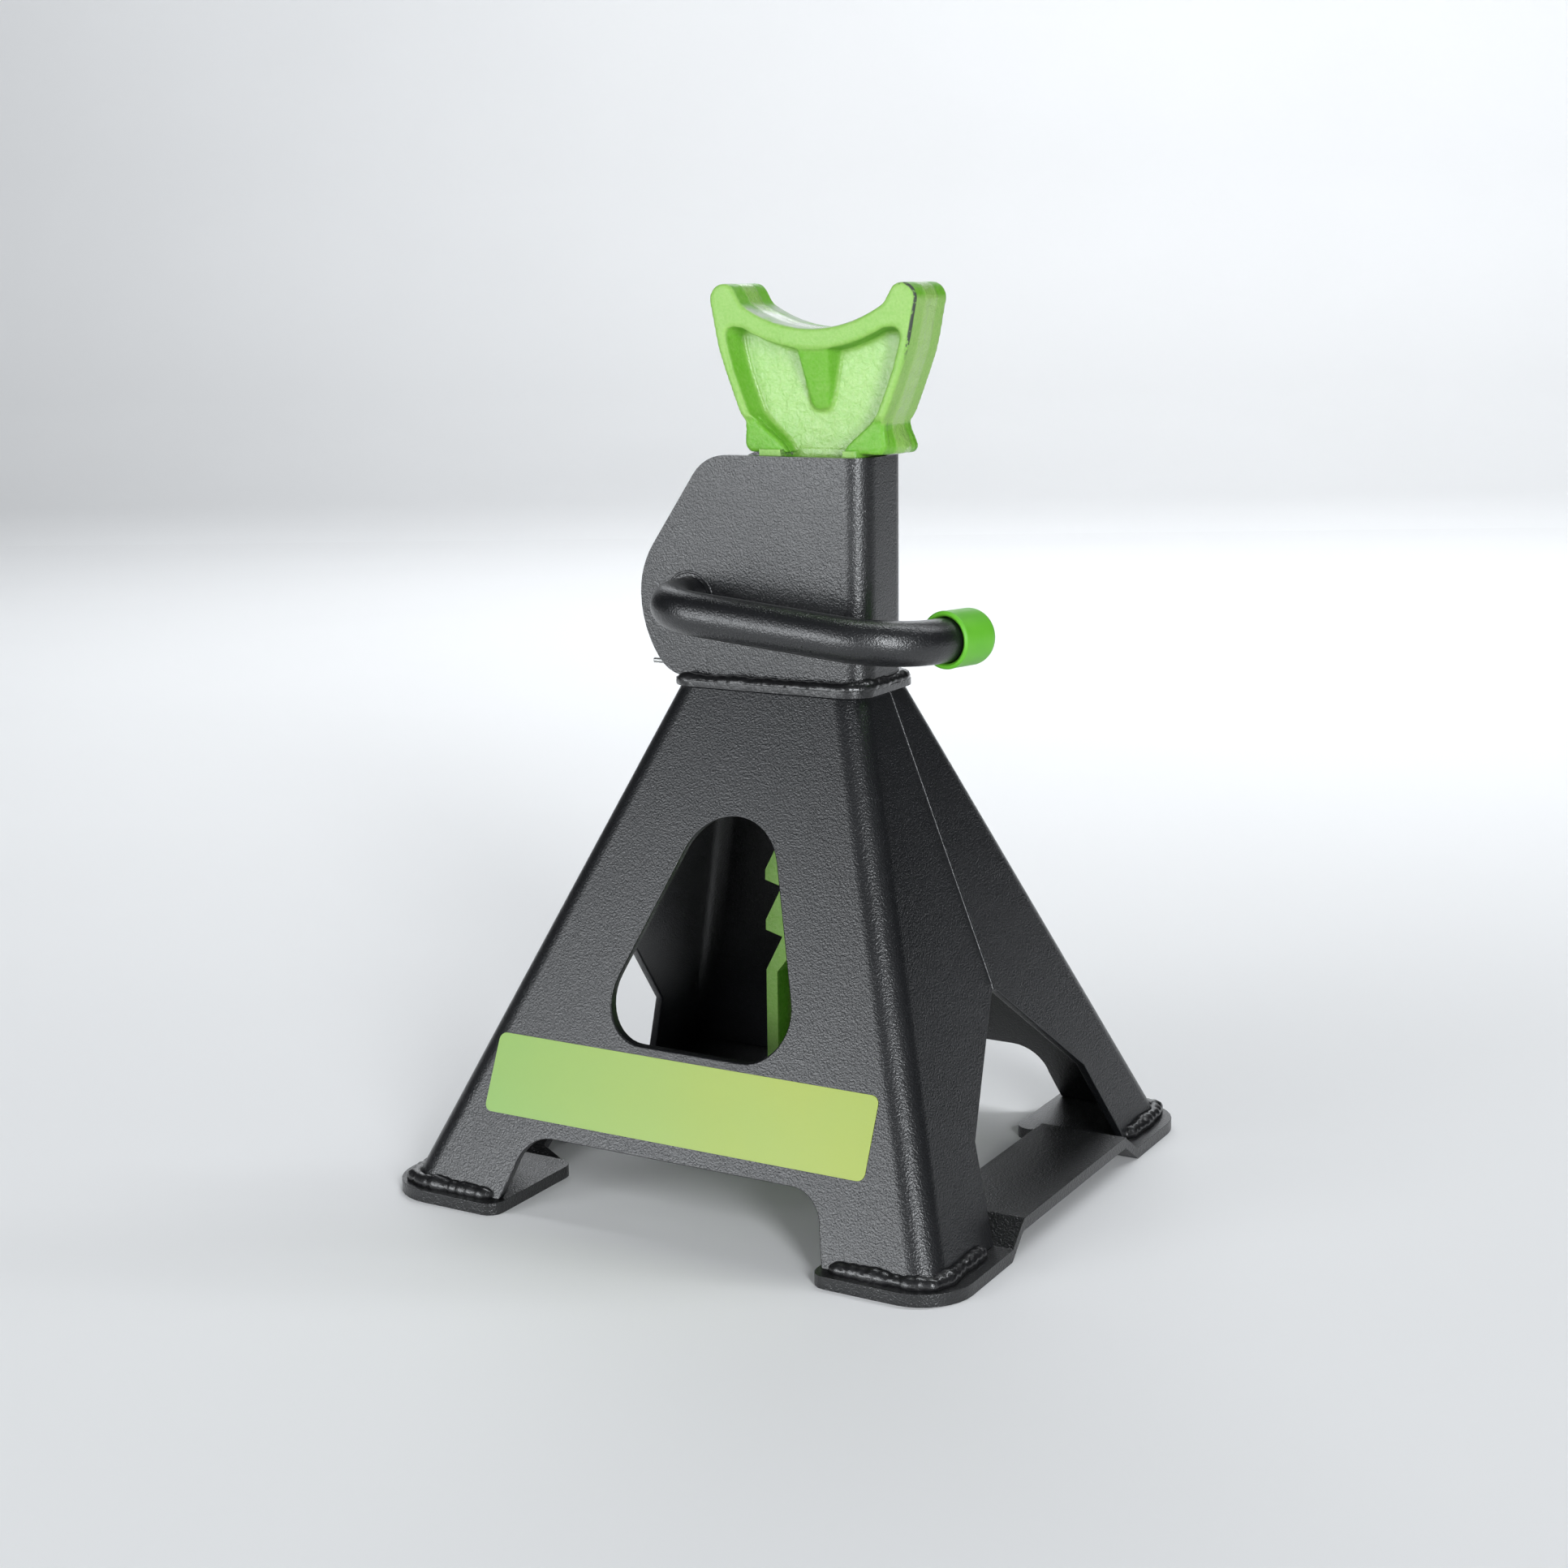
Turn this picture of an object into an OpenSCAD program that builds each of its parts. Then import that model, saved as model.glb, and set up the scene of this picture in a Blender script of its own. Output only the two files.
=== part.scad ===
// Ratchet axle jack stand: folded sheet pyramid, welded mast, cast ratchet column with a
// saddle, and a handle whose pawl drops into the column's notches.
// Millimetres. Origin on the ground under the centre of the feet, +Z up, front face at -Y,
// and the pawl on the -X side of the mast.

/* [Base] */
// Half width of the pyramid where it stands on its feet, measured to the sharp corner
base_half_w = 96.6; // [85:0.1:120]
// Half depth of the pyramid where it stands on its feet, measured to the sharp corner
base_half_d = 90.4; // [80:0.1:110]
// Depth of the pyramid's top rim in front of the mast
neck_ledge = 5; // [3:0.1:8]
// Height of the pyramid's top rim
neck_z = 162.4; // [140:0.1:200]
// Thickness of the pressed sheet
sheet_t = 3; // [2:0.1:4]
// Bend radius of the pyramid's corners
corner_r = 9; // [6:0.5:14]
// Place of the side seams, behind the middle
seam_y = 2.5; // [-5:0.5:5]

/* [Windows] */
// Height of the window's bottom edge
window_z = 55; // [45:0.5:60]
// Height of the window from its bottom edge to its top
window_h = 69.8; // [50:0.1:75]
// Radius of the window's top
window_top_r = 18.3; // [12:0.1:20]
// Radius of the window's bottom corners
window_low_r = 14; // [10:0.5:16]
// Half width of the window at its widest
window_half_w = 32.6; // [28:0.1:36]
// Height of the arch between the legs
arch_h = 24; // [15:0.5:28]
// Width of a leg beside the top of the arch
leg_w = 40.6; // [34:0.1:46]
// Radius of the arch's corners
arch_r = 12; // [6:0.5:15]
// Height of the peak of the side opening, before it is rounded
side_peak_z = 68.3; // [60:0.1:76]
// Depth of a leg beside the knee of the side opening
knee_leg_d = 48; // [44:0.1:54]
// Height of the knee of the side opening
side_knee_z = 32; // [25:0.5:40]
// Depth of a leg beside the side opening at the feet
foot_leg_d = 37.9; // [34:0.1:44]

/* [Feet] */
// Thickness of the foot straps
strap_t = 4; // [3:0.1:5]
// Width of a foot plate
plate_w = 45.7; // [40:0.1:54]
// How far a foot plate stands out beside the pyramid's corner
plate_side_lip = 6.4; // [4:0.1:10]
// How far a foot plate stands out in front of the pyramid's corner
plate_end_lip = 4.8; // [3:0.1:10]
// Length of a foot plate, up to the step
plate_l = 45.2; // [40:0.1:50]
// Length of the step between a foot plate and the raised bridge
step_l = 9.5; // [8:0.1:12]
// Width of the raised bridge between two foot plates
bridge_w = 30.3; // [24:0.1:36]
// Height of the bridge's top
bridge_z = 10.7; // [9:0.1:14]

/* [Mast] */
// Distance of the mast's right face from the middle
mast_right = 34.6; // [33:0.1:40]
// Half depth of the mast
mast_half_d = 14.7; // [14:0.1:18]
// Height of the mast above the pyramid's rim
mast_h = 74.6; // [65:0.1:100]
// Outer radius of the mast's folds
mast_fold_r = 8; // [5:0.5:10]

/* [Column] */
// Thickness of the column casting
column_t = 22; // [20:0.1:22.6]
// Distance of the tooth tips from the middle, to the left
tooth_x = 5; // [4:0.1:6]
// Depth of a notch
notch_d = 6.2; // [5:0.1:7]
// Distance between notches
tooth_pitch = 17; // [15:0.1:19]
// Number of notches
tooth_count = 9; // [7:1:9]
// Height above the pivot at which the notch that holds the pawl opens
notch_rise = 13.1; // [12:0.1:16]
// Height of the column's lower end
column_foot_z = 16; // [12:1:30]
// Thickness of the casting's web
web_t = 6; // [4:0.5:10]
// Number of notches that the column may rise by
lift_notches = 6; // [1:1:6]

/* [Saddle] */
// Place of the saddle's middle, right of the middle of the stand
saddle_x = 13.9; // [13:0.1:15]
// Gap between the saddle's foot and the mast, with the column down
saddle_gap = 0.8; // [0.3:0.1:2]
// Height of the saddle from its foot to the tips of its horns
saddle_h = 52.2; // [50:0.1:58]
// Radius of the round seat
seat_r = 46; // [42:0.5:50]
// Height of the bottom of the seat above the saddle's foot
seat_h = 38.8; // [36:0.1:42]
// Width of the rim round the saddle's pockets
rim_w = 5; // [4:0.1:6]

/* [Handle] */
// Diameter of the handle's rod
rod_d = 14; // [12:0.5:16]
// Distance of the pivot from the middle, to the left
pivot_x = 30; // [28:0.1:32]
// Height of the pivot above the pyramid's rim
pivot_rise = 28.1; // [26:0.1:32]
// Angle by which the handle hangs below level
handle_droop = 5.2; // [0:0.1:8]
// Distance of the handle's long run in front of the mast
handle_reach = 23.3; // [20:0.1:28]
// Bend radius beside the pivot
front_bend_r = 18; // [12:0.5:18]
// Distance along the run from the pivot to the start of the last bend
run_l = 67.5; // [60:0.5:75]
// Radius of the last bend
end_bend_r = 24; // [18:0.5:28]
// Angle of the last bend
end_bend = 78; // [60:1:85]
// Straight length between the last bend and the cap
end_l = 5; // [2:0.5:10]
// Wall of the cap
cap_wall = 2; // [1.5:0.1:4]
// Length of the cap
cap_l = 18; // [14:0.5:24]

/* [Fits] */
// Radial running clearance of the handle's shaft in the mast
shaft_gap = 0.08; // [0.03:0.01:0.1]
// Clearance beside the column in the mast
column_gap = 0.5; // [0.3:0.1:1]
// Gap between the parts of the latch
latch_gap = 0.4; // [0.3:0.1:0.6]

/* [Hidden] */
$fn = 48;

black = "#26282b";
green = "#7cc84a";
steel = "#8d9196";

neck_half_w = mast_right - 0.4;
neck_half_d = mast_half_d + neck_ledge;
arch_half_w = base_half_w - leg_w;
side_knee_w = base_half_d - knee_leg_d;
side_foot_w = base_half_d - foot_leg_d;
plate_out_x = base_half_w + plate_side_lip;
plate_in_x = plate_out_x - plate_w;
plate_end_y = base_half_d + plate_end_lip;
plate_in_y = plate_end_y - plate_l;
bridge_half_l = plate_in_y - step_l;
bridge_out_x = plate_out_x - 0.6;
bridge_in_x = bridge_out_x - bridge_w;
mast_z = neck_z + mast_h;
pivot_z = neck_z + pivot_rise;
saddle_z = mast_z + saddle_gap;
shell_h = neck_z - strap_t;
slope_w = (base_half_w - neck_half_w) / shell_h;
slope_d = (base_half_d - neck_half_d) / shell_h;
wall_w = sheet_t * sqrt(1 + slope_w * slope_w);
wall_d = sheet_t * sqrt(1 + slope_d * slope_d);
cut = 300;

// Half width and half depth of the pyramid's outside at height z
function shell_w(z) = neck_half_w + slope_w * (neck_z - z);
function shell_d(z) = neck_half_d + slope_d * (neck_z - z);

mast_in_d = mast_half_d - sheet_t;
mast_in_right = mast_right - sheet_t;
cheek_reach = 48.6;

lift = lift_notches * tooth_pitch;
column_right = neck_half_w - wall_w - column_gap;
tooth_land = 3.4;
first_tooth_z = pivot_z + notch_rise - tooth_land - (tooth_count - 2) * tooth_pitch;
underside_drop = 1.7;
guide_t = 3.5;
stop_pin_r = 3;
stop_pin_z = neck_z - latch_gap - lift - stop_pin_r;

pawl_front = -5.4;
pawl_rear = mast_in_d - latch_gap;
hub_r = rod_d / 2 + 5;
nose_r = pivot_x + 5.9;
rod_r = rod_d / 2;
shaft_end = mast_half_d + 8;
washer_t = 2;
washer_gap = 0.2;
split_pin_r = 1.4;
run_y = -mast_half_d - handle_reach;
end_start = [run_l + end_bend_r * sin(end_bend), run_y + end_bend_r * (1 - cos(end_bend))];
rod_insert = cap_l - 4;
bend_rod_r = rod_r - 0.02;
roll_pin_r = 2;
wire_r = 0.9;
coil_r = rod_r + 1.7;

// Points of an arc about c, from angle a to angle b
function arc(c, r, a, b, n = 8) =
    [for (i = [0 : n]) c + r * [cos(a + (b - a) * i / n), sin(a + (b - a) * i / n)]];

// Point where a line from p touches the circle about c, on its left (side = 1) or right (-1)
function touch(p, c, r, side) =
    let (d = p - c, a = atan2(d[1], d[0]), h = acos(r / norm(d)))
    c + r * [cos(a + side * h), sin(a + side * h)];

// Outline of a rectangle with rounded corners
function round_rect(hw, hd, r, n = 6) =
    concat(arc([hw - r, hd - r], r, 0, 90, n), arc([r - hw, hd - r], r, 90, 180, n),
           arc([r - hw, r - hd], r, 180, 270, n), arc([hw - r, r - hd], r, 270, 360, n));

// Mirrored copies of a half outline's points, given from the top down on the right
function both_sides(half) =
    concat(half, [for (i = [len(half) - 1 : -1 : 0]) [-half[i][0], half[i][1]]]);

// A solid between two parallel outlines with the same number of points
module loft(low, z0, high, z1) {
    n = len(low);
    points = concat([for (p = low) [p[0], p[1], z0]], [for (p = high) [p[0], p[1], z1]]);
    sides = [for (i = [0 : n - 1]) [i, (i + 1) % n, n + (i + 1) % n, n + i]];
    bottom = [for (i = [n - 1 : -1 : 0]) i];
    top = [for (i = [0 : n - 1]) n + i];
    polyhedron(points, [for (f = concat(sides, [bottom, top])) [for (i = [len(f) - 1 : -1 : 0]) f[i]]]);
}

// An outline in X and Z, pushed through along Y from y0 to y1
module through_y(y0, y1) {
    translate([0, y1, 0]) rotate([90, 0, 0]) linear_extrude(y1 - y0) children();
}

// An outline in Y and Z, pushed through along X from x0 to x1
module through_x(x0, x1) {
    translate([x0, 0, 0]) rotate([90, 0, 90]) linear_extrude(x1 - x0) children();
}

// ---------- pyramid ----------

module window_outline() {
    top_c = [0, window_z + window_h - window_top_r];
    low_c = [window_half_w - window_low_r, window_z + window_low_r];
    d = low_c - top_c;
    lean = atan2(d[1], d[0]) + acos((window_top_r - window_low_r) / norm(d));
    polygon(both_sides(concat(arc(top_c, window_top_r, 90, lean, 10),
                              arc(low_c, window_low_r, lean, -90, 12))));
}

module arch_outline() {
    corner = [arch_half_w - arch_r, arch_h - arch_r];
    polygon(both_sides(concat(arc(corner, arch_r, 90, 8, 8), [[arch_half_w + 4.6, -1]])));
}

module side_outline() {
    peak = [0, side_peak_z];
    knee = [side_knee_w, side_knee_z];
    fall = atan2(peak[1] - knee[1], knee[0]);
    r = 4;
    peak_c = peak - [0, r / cos(fall)];
    polygon(both_sides(concat(arc(peak_c, r, 90, 90 - fall, 4), [knee, [side_foot_w + 0.5, strap_t - 1.5]])));
}

module pyramid() {
    difference() {
        loft(round_rect(base_half_w, base_half_d, corner_r), strap_t,
             round_rect(neck_half_w, neck_half_d, corner_r), neck_z);
        loft(round_rect(shell_w(strap_t - 1) - wall_w, shell_d(strap_t - 1) - wall_d, corner_r - sheet_t),
             strap_t - 1,
             round_rect(shell_w(neck_z + 1) - wall_w, shell_d(neck_z + 1) - wall_d, corner_r - sheet_t),
             neck_z + 1);
        through_y(-cut, cut) window_outline();
        through_y(-cut, cut) arch_outline();
        translate([0, seam_y, 0]) through_x(-cut, cut) side_outline();
    }
}

module base_shell_front() {
    color(black) intersection() {
        pyramid();
        translate([-cut, seam_y - cut, 0]) cube([2 * cut, cut, cut]);
    }
}

module base_shell_rear() {
    color(black) intersection() {
        pyramid();
        translate([-cut, seam_y, 0]) cube([2 * cut, cut, cut]);
    }
}

// Low bead that closes the side seam, from above the side opening to the neck
module seam_weld() {
    bead_w = 2.4;
    bead_h = 0.7;
    z0 = side_peak_z + 1;
    z1 = neck_z - 1;
    through_y(seam_y - bead_w / 2, seam_y + bead_w / 2)
        polygon([[shell_w(z0), z0], [shell_w(z0) + bead_h, z0], [shell_w(z1) + bead_h, z1], [shell_w(z1), z1]]);
}

module seam_weld_left() color(black) mirror([1, 0, 0]) seam_weld();
module seam_weld_right() color(black) seam_weld();

// ---------- feet ----------

module strap_side() {
    half = [[plate_end_y + 1, 0], [plate_in_y + 0.6, 0], [bridge_half_l + 0.6, bridge_z - strap_t]];
    upper = [[bridge_half_l, bridge_z], [plate_in_y, strap_t], [plate_end_y + 1, strap_t]];
    polygon(concat(half, [for (i = [2 : -1 : 0]) [-half[i][0], half[i][1]]],
                   [for (i = [2 : -1 : 0]) [-upper[i][0], upper[i][1]]], upper));
}

module strap_outline() {
    outer_r = 17;
    inner_r = 5;
    end = concat(
        [[bridge_in_x, bridge_half_l + 6]],
        arc([plate_in_x + inner_r, plate_in_y + inner_r], inner_r, 270, 180, 4),
        arc([plate_in_x + inner_r, plate_end_y - inner_r], inner_r, 180, 90, 4),
        arc([plate_out_x - outer_r, plate_end_y - outer_r], outer_r, 90, 0, 8),
        [[plate_out_x, plate_in_y], [bridge_out_x, bridge_half_l + 2]]);
    polygon(concat(end, [for (i = [len(end) - 1 : -1 : 0]) [end[i][0], -end[i][1]]]));
}

module foot_strap() {
    intersection() {
        through_x(plate_in_x - 1, bridge_out_x + 1) strap_side();
        linear_extrude(bridge_z + 1) strap_outline();
    }
}

module foot_strap_left() color(black) mirror([1, 0, 0]) foot_strap();
module foot_strap_right() color(black) foot_strap();

// Fillet beads along the two outer edges of one leg, standing on its foot plate
module leg_beads() {
    bead = 3.2;
    z0 = strap_t;
    z1 = strap_t + bead;
    front_from = arch_half_w + 5.5;
    front_to = base_half_w - corner_r;
    through_x(front_from, front_to)
        polygon([[shell_d(z0), z0], [shell_d(z0) + bead, z0], [shell_d(z1), z1]]);
    through_y(side_foot_w + seam_y + 2.5, base_half_d - corner_r)
        polygon([[shell_w(z0), z0], [shell_w(z0) + bead, z0], [shell_w(z1), z1]]);
}

module foot_welds() {
    color(black) for (mx = [0, 1]) mirror([mx, 0, 0])
        for (my = [0, 1]) mirror([0, my, 0]) leg_beads();
}

// ---------- mast ----------

// Side outline of a cheek: straight at the right, a round belly round the pivot at the left
module cheek_outline() {
    belly_r = 28.3;
    chin_r = 37;
    jaw_r = 12.9;
    brow_r = 14.7;
    lean = 34.5;
    chin = 35;
    belly_c = [belly_r - cheek_reach, pivot_z + 0.9];
    chin_c = [chin_r - cheek_reach, pivot_z + 0.9];
    chin_end = chin_c - chin_r * [cos(chin), sin(chin)];
    jaw_c = chin_end + jaw_r * [cos(chin), sin(chin)];
    brow_start = belly_c + belly_r * [-cos(lean), sin(lean)];
    brow_c_z = mast_z - brow_r;
    brow_low_z = brow_c_z + brow_r * sin(lean);
    brow_x = brow_start[0] + (brow_low_z - brow_start[1]) * tan(lean) + brow_r * cos(lean);
    polygon(concat([[mast_right + 1, neck_z], [mast_right + 1, mast_z]],
                   arc([brow_x, brow_c_z], brow_r, 90, 180 - lean, 6),
                   arc(belly_c, belly_r, 180 - lean, 180, 6),
                   arc(chin_c, chin_r, 180, 180 + chin, 6),
                   arc(jaw_c, jaw_r, 180 + chin, 270, 5),
                   [[1 - neck_half_w, jaw_c[1] - jaw_r], [1 - neck_half_w, neck_z]]));
}

// Plan of the folded channel: two cheeks joined by the right wall
module channel_plan() {
    inner_r = mast_fold_r - sheet_t;
    outer = concat([[-cut, -mast_half_d]],
                   arc([mast_right - mast_fold_r, mast_fold_r - mast_half_d], mast_fold_r, 270, 360),
                   arc([mast_right - mast_fold_r, mast_half_d - mast_fold_r], mast_fold_r, 0, 90),
                   [[-cut, mast_half_d]]);
    inner = concat([[-cut, mast_in_d]],
                   arc([mast_in_right - inner_r, mast_in_d - inner_r], inner_r, 90, 0),
                   arc([mast_in_right - inner_r, inner_r - mast_in_d], inner_r, 360, 270),
                   [[-cut, -mast_in_d]]);
    polygon(concat(outer, inner));
}

module mast_body() {
    intersection() {
        translate([0, 0, neck_z]) linear_extrude(mast_z - neck_z) channel_plan();
        through_y(-cut, cut) cheek_outline();
    }
}

module mast_channel() {
    dish_r = rod_r + 3.3;
    color(black) difference() {
        mast_body();
        translate([-pivot_x, 0, pivot_z]) rotate([90, 0, 0])
            cylinder(h = 2 * mast_half_d + 4, r = rod_r + shaft_gap, center = true);
        translate([-pivot_x, 0.01 - mast_half_d, pivot_z]) rotate([90, 0, 0]) mirror([0, 0, 1])
            cylinder(h = sheet_t - 1, r1 = dish_r, r2 = rod_r + 0.8);
    }
}

// Heavy bead that joins the mast to the pyramid's top rim
module neck_weld() {
    color(black) difference() {
        translate([0.2, 0, neck_z]) linear_extrude(4) polygon(round_rect(neck_half_w + 2, neck_half_d + 0.8, corner_r));
        translate([1 - neck_half_w, -mast_half_d, neck_z - 1])
            linear_extrude(6) polygon(concat([[0, 0]],
                arc([mast_right + neck_half_w - 1 - mast_fold_r, mast_fold_r], mast_fold_r, 270, 360),
                arc([mast_right + neck_half_w - 1 - mast_fold_r, 2 * mast_half_d - mast_fold_r], mast_fold_r, 0, 90),
                [[0, 2 * mast_half_d]]));
        mast_body();
    }
}

module guide_plate(z0, z1) {
    translate([-tooth_x - column_gap - guide_t, -mast_in_d, z0]) cube([guide_t, 2 * mast_in_d, z1 - z0]);
}

module upper_guide_plate() color(black) guide_plate(pivot_z + 36, mast_z - 1);
module lower_guide_plate() color(black) guide_plate(neck_z + 0.6, pivot_z - 3);

// ---------- column ----------

function tooth(k) =
    let (z = first_tooth_z + k * tooth_pitch)
    [[notch_d - tooth_x, z - underside_drop], [-tooth_x, z], [-tooth_x, z + tooth_land]];

module bar_outline() {
    teeth = [for (k = [0 : tooth_count - 1], p = tooth(k)) p];
    foot = 2;
    first_flank_z = first_tooth_z - tooth_pitch + tooth_land;
    polygon(concat([[column_right - foot, column_foot_z], [foot - tooth_x, column_foot_z],
                    [-tooth_x, column_foot_z + foot], [-tooth_x, first_flank_z]],
                   teeth,
                   [[-tooth_x, saddle_z + 1], [column_right, saddle_z + 1], [column_right, column_foot_z + foot]]));
}

// Right half of the saddle's outline, about its own middle and foot
function saddle_half() =
    let (horn = [31.7, saddle_h - 4.8], seat_c = [0, seat_h + seat_r], seat_end = 31.7)
    concat(
        [[27, 0], [27.9, 1], [27.7, 2.6], [25.4, 7], [25, 9.5], [26.6, 13.6], [29.2, 19.8], [31.6, 26.2],
         [33.6, 31.8], [34.9, 37.2], [35.9, 42.6]],
        arc(horn, 4.8, 5, 150, 8),
        [[25.7, saddle_h - 5.4]],
        arc(seat_c, seat_r, 270 + seat_end, 270, 8));

module saddle_outline() {
    half = saddle_half();
    translate([saddle_x, saddle_z])
        polygon(concat(half, [for (i = [len(half) - 1 : -1 : 0]) [-half[i][0], half[i][1]]]));
}

// Pocket in each face of the saddle and the bar, leaving a rim and a web
module pocket_outline() {
    under = seat_r + rim_w + 1.1;
    half = concat([[10.6, -1], [13, 2.7], [18.7, 8], [23.2, 12.6], [26.5, 20.3], [28.9, 26.9], [30.9, 34]],
                  arc([28.2, 36.6], 3, 0, 110, 5),
                  arc([0, seat_h + seat_r], under, 270 + 25, 270, 6));
    translate([saddle_x, saddle_z])
        polygon(concat(half, [for (i = [len(half) - 1 : -1 : 0]) [-half[i][0], half[i][1]]]));
    rim = 4.2;
    narrow = notch_d - tooth_x + rim;
    polygon([[rim - tooth_x, column_foot_z + 8], [column_right - 6.5, column_foot_z + 8],
             [column_right - 6.5, saddle_z], [narrow, saddle_z], [narrow, first_tooth_z - 6],
             [rim - tooth_x, first_tooth_z - tooth_pitch + 3]]);
}

// Wedge rib that stiffens the seat in the middle of each pocket
module saddle_rib() {
    translate([saddle_x, saddle_z]) polygon([[-5.6, 33.2], [5.6, 33.2], [3.1, 15.4], [1.6, 14], [-1.6, 14], [-3.1, 15.4]]);
}

module ratchet_column() {
    half_t = column_t / 2;
    pocket = (column_t - web_t) / 2;
    relief = 2.5;
    color(green) difference() {
        union() {
            difference() {
                through_y(-half_t, half_t) {
                    bar_outline();
                    saddle_outline();
                }
                through_y(-half_t - 1, pocket - half_t) pocket_outline();
                through_y(half_t - pocket, half_t + 1) pocket_outline();
            }
            intersection() {
                through_y(-half_t, half_t) saddle_rib();
                through_x(-cut, cut) polygon([[-half_t, saddle_z + 34], [-half_t, saddle_z + 24],
                    [-web_t / 2, saddle_z + 13.9], [web_t / 2, saddle_z + 13.9],
                    [half_t, saddle_z + 24], [half_t, saddle_z + 34]]);
            }
        }
        // The bar's right edges are relieved to clear the mast's folds
        for (side = [-1, 1]) translate([column_right, side * half_t, column_foot_z - 1])
            linear_extrude(saddle_z - column_foot_z + 1)
                polygon([[1, side], [-relief, side], [-relief, 0], [0, -side * relief], [1, -side * relief]]);
        translate([saddle_x, 0, stop_pin_z]) rotate([90, 0, 0]) cylinder(h = cut, r = stop_pin_r, center = true);
    }
}

// Pin through the column's web that meets the mast's lower edge at full height
module column_stop_pin() {
    color(steel) translate([saddle_x, 0, stop_pin_z]) rotate([90, 0, 0])
        cylinder(h = 2 * (mast_half_d - 0.6), r = stop_pin_r, center = true);
}

// ---------- handle ----------

// Turns the handle's flat shape about the pivot, to where it hangs
module at_pivot() {
    translate([-pivot_x, 0, pivot_z]) rotate([0, handle_droop, 0]) children();
}

module rod_along_y(y0, y1) {
    translate([0, y1, 0]) rotate([90, 0, 0]) cylinder(h = y1 - y0, r = rod_r);
}

module handle_lever() {
    color(black) difference() {
        at_pivot() {
            rod_along_y(run_y + front_bend_r, shaft_end);
            translate([front_bend_r, run_y + front_bend_r, 0]) rotate([0, 0, 180])
                rotate_extrude(angle = 90) translate([front_bend_r, 0]) circle(r = bend_rod_r);
            translate([front_bend_r, run_y, 0]) rotate([0, 90, 0]) cylinder(h = run_l - front_bend_r, r = rod_r);
            translate([run_l, run_y + end_bend_r, 0]) rotate([0, 0, 270])
                rotate_extrude(angle = end_bend) translate([end_bend_r, 0]) circle(r = bend_rod_r);
            translate([end_start[0], end_start[1], 0]) rotate([0, 90, end_bend])
                cylinder(h = end_l + rod_insert, r = rod_r);
        }
        roll_pin_place() cylinder(h = 4 * hub_r, r = roll_pin_r, center = true);
        split_pin_place() cylinder(h = 3 * rod_d, r = split_pin_r, center = true);
    }
}

module handle_cap() {
    wall = rod_r + cap_wall;
    edge = 4.5;
    profile = concat([[rod_r, 0], [wall - 0.8, 0], [wall, 0.8]],
                     arc([wall - edge, cap_l - edge], edge, 0, 90),
                     [[0, cap_l], [0, rod_insert], [rod_r, rod_insert]]);
    color(green) at_pivot() translate([end_start[0] + end_l * cos(end_bend), end_start[1] + end_l * sin(end_bend), 0])
        rotate([0, 90, end_bend]) rotate_extrude() polygon(profile);
}

nose = let (dx = pivot_x - 1.3) [-1.3, pivot_z + sqrt(nose_r * nose_r - dx * dx)];
module pawl_outline() {
    c = [-pivot_x, pivot_z];
    toe = nose - [0.3, 0.8];
    heel = toe - [5, 9.6];
    crown = nose + [-7.7, 2.1];
    polygon([c, touch(heel, c, hub_r, -1), heel, toe, nose, crown, touch(crown, c, hub_r, 1)]);
    translate(c) circle(r = hub_r);
}

module locking_pawl() {
    color(steel) difference() {
        through_y(pawl_front, pawl_rear) pawl_outline();
        translate([-pivot_x, 0, pivot_z]) rotate([90, 0, 0]) cylinder(h = cut, r = rod_r, center = true);
        roll_pin_place() cylinder(h = 4 * hub_r, r = roll_pin_r, center = true);
    }
}

// Roll pin through the pawl's hub and the shaft, across the nose's direction
module roll_pin_place() {
    translate([-pivot_x, (pawl_front + pawl_rear) / 2, pivot_z]) rotate([0, -50, 0]) children();
}

module pawl_roll_pin() {
    color(steel) roll_pin_place() difference() {
        cylinder(h = 2 * hub_r - 1, r = roll_pin_r, center = true);
        cylinder(h = 3 * hub_r, r = roll_pin_r / 2, center = true);
    }
}

module shaft_washer() {
    color(steel) translate([-pivot_x, mast_half_d + washer_gap + washer_t, pivot_z]) rotate([90, 0, 0])
        difference() {
            cylinder(h = washer_t, r = rod_r + 5);
            translate([0, 0, -1]) cylinder(h = washer_t + 2, r = rod_r + shaft_gap);
        }
}

module split_pin_place() {
    translate([-pivot_x, mast_half_d + washer_gap + washer_t + split_pin_r + 0.1, pivot_z]) children();
}

// Split pin behind the washer: a straight shank with a ring head and two spread legs
module shaft_split_pin() {
    color(steel) split_pin_place() rotate([0, 0, 90]) {
        cylinder(h = rod_d + 3, r = split_pin_r, center = true);
        translate([0, 0, rod_r + 3]) rotate([90, 0, 90]) rotate_extrude() translate([1.9, 0]) circle(r = 0.9);
        for (lean = [-1, 1]) translate([0, 0, -rod_r - 1.2]) rotate([180 - 35 * lean, 0, 0]) rotate([0, 90, 0])
            translate([0, 0, -0.7]) rotate([0, -90, 0]) cylinder(h = 5, r = 0.7);
    }
}

// ---------- latch spring ----------

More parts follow.
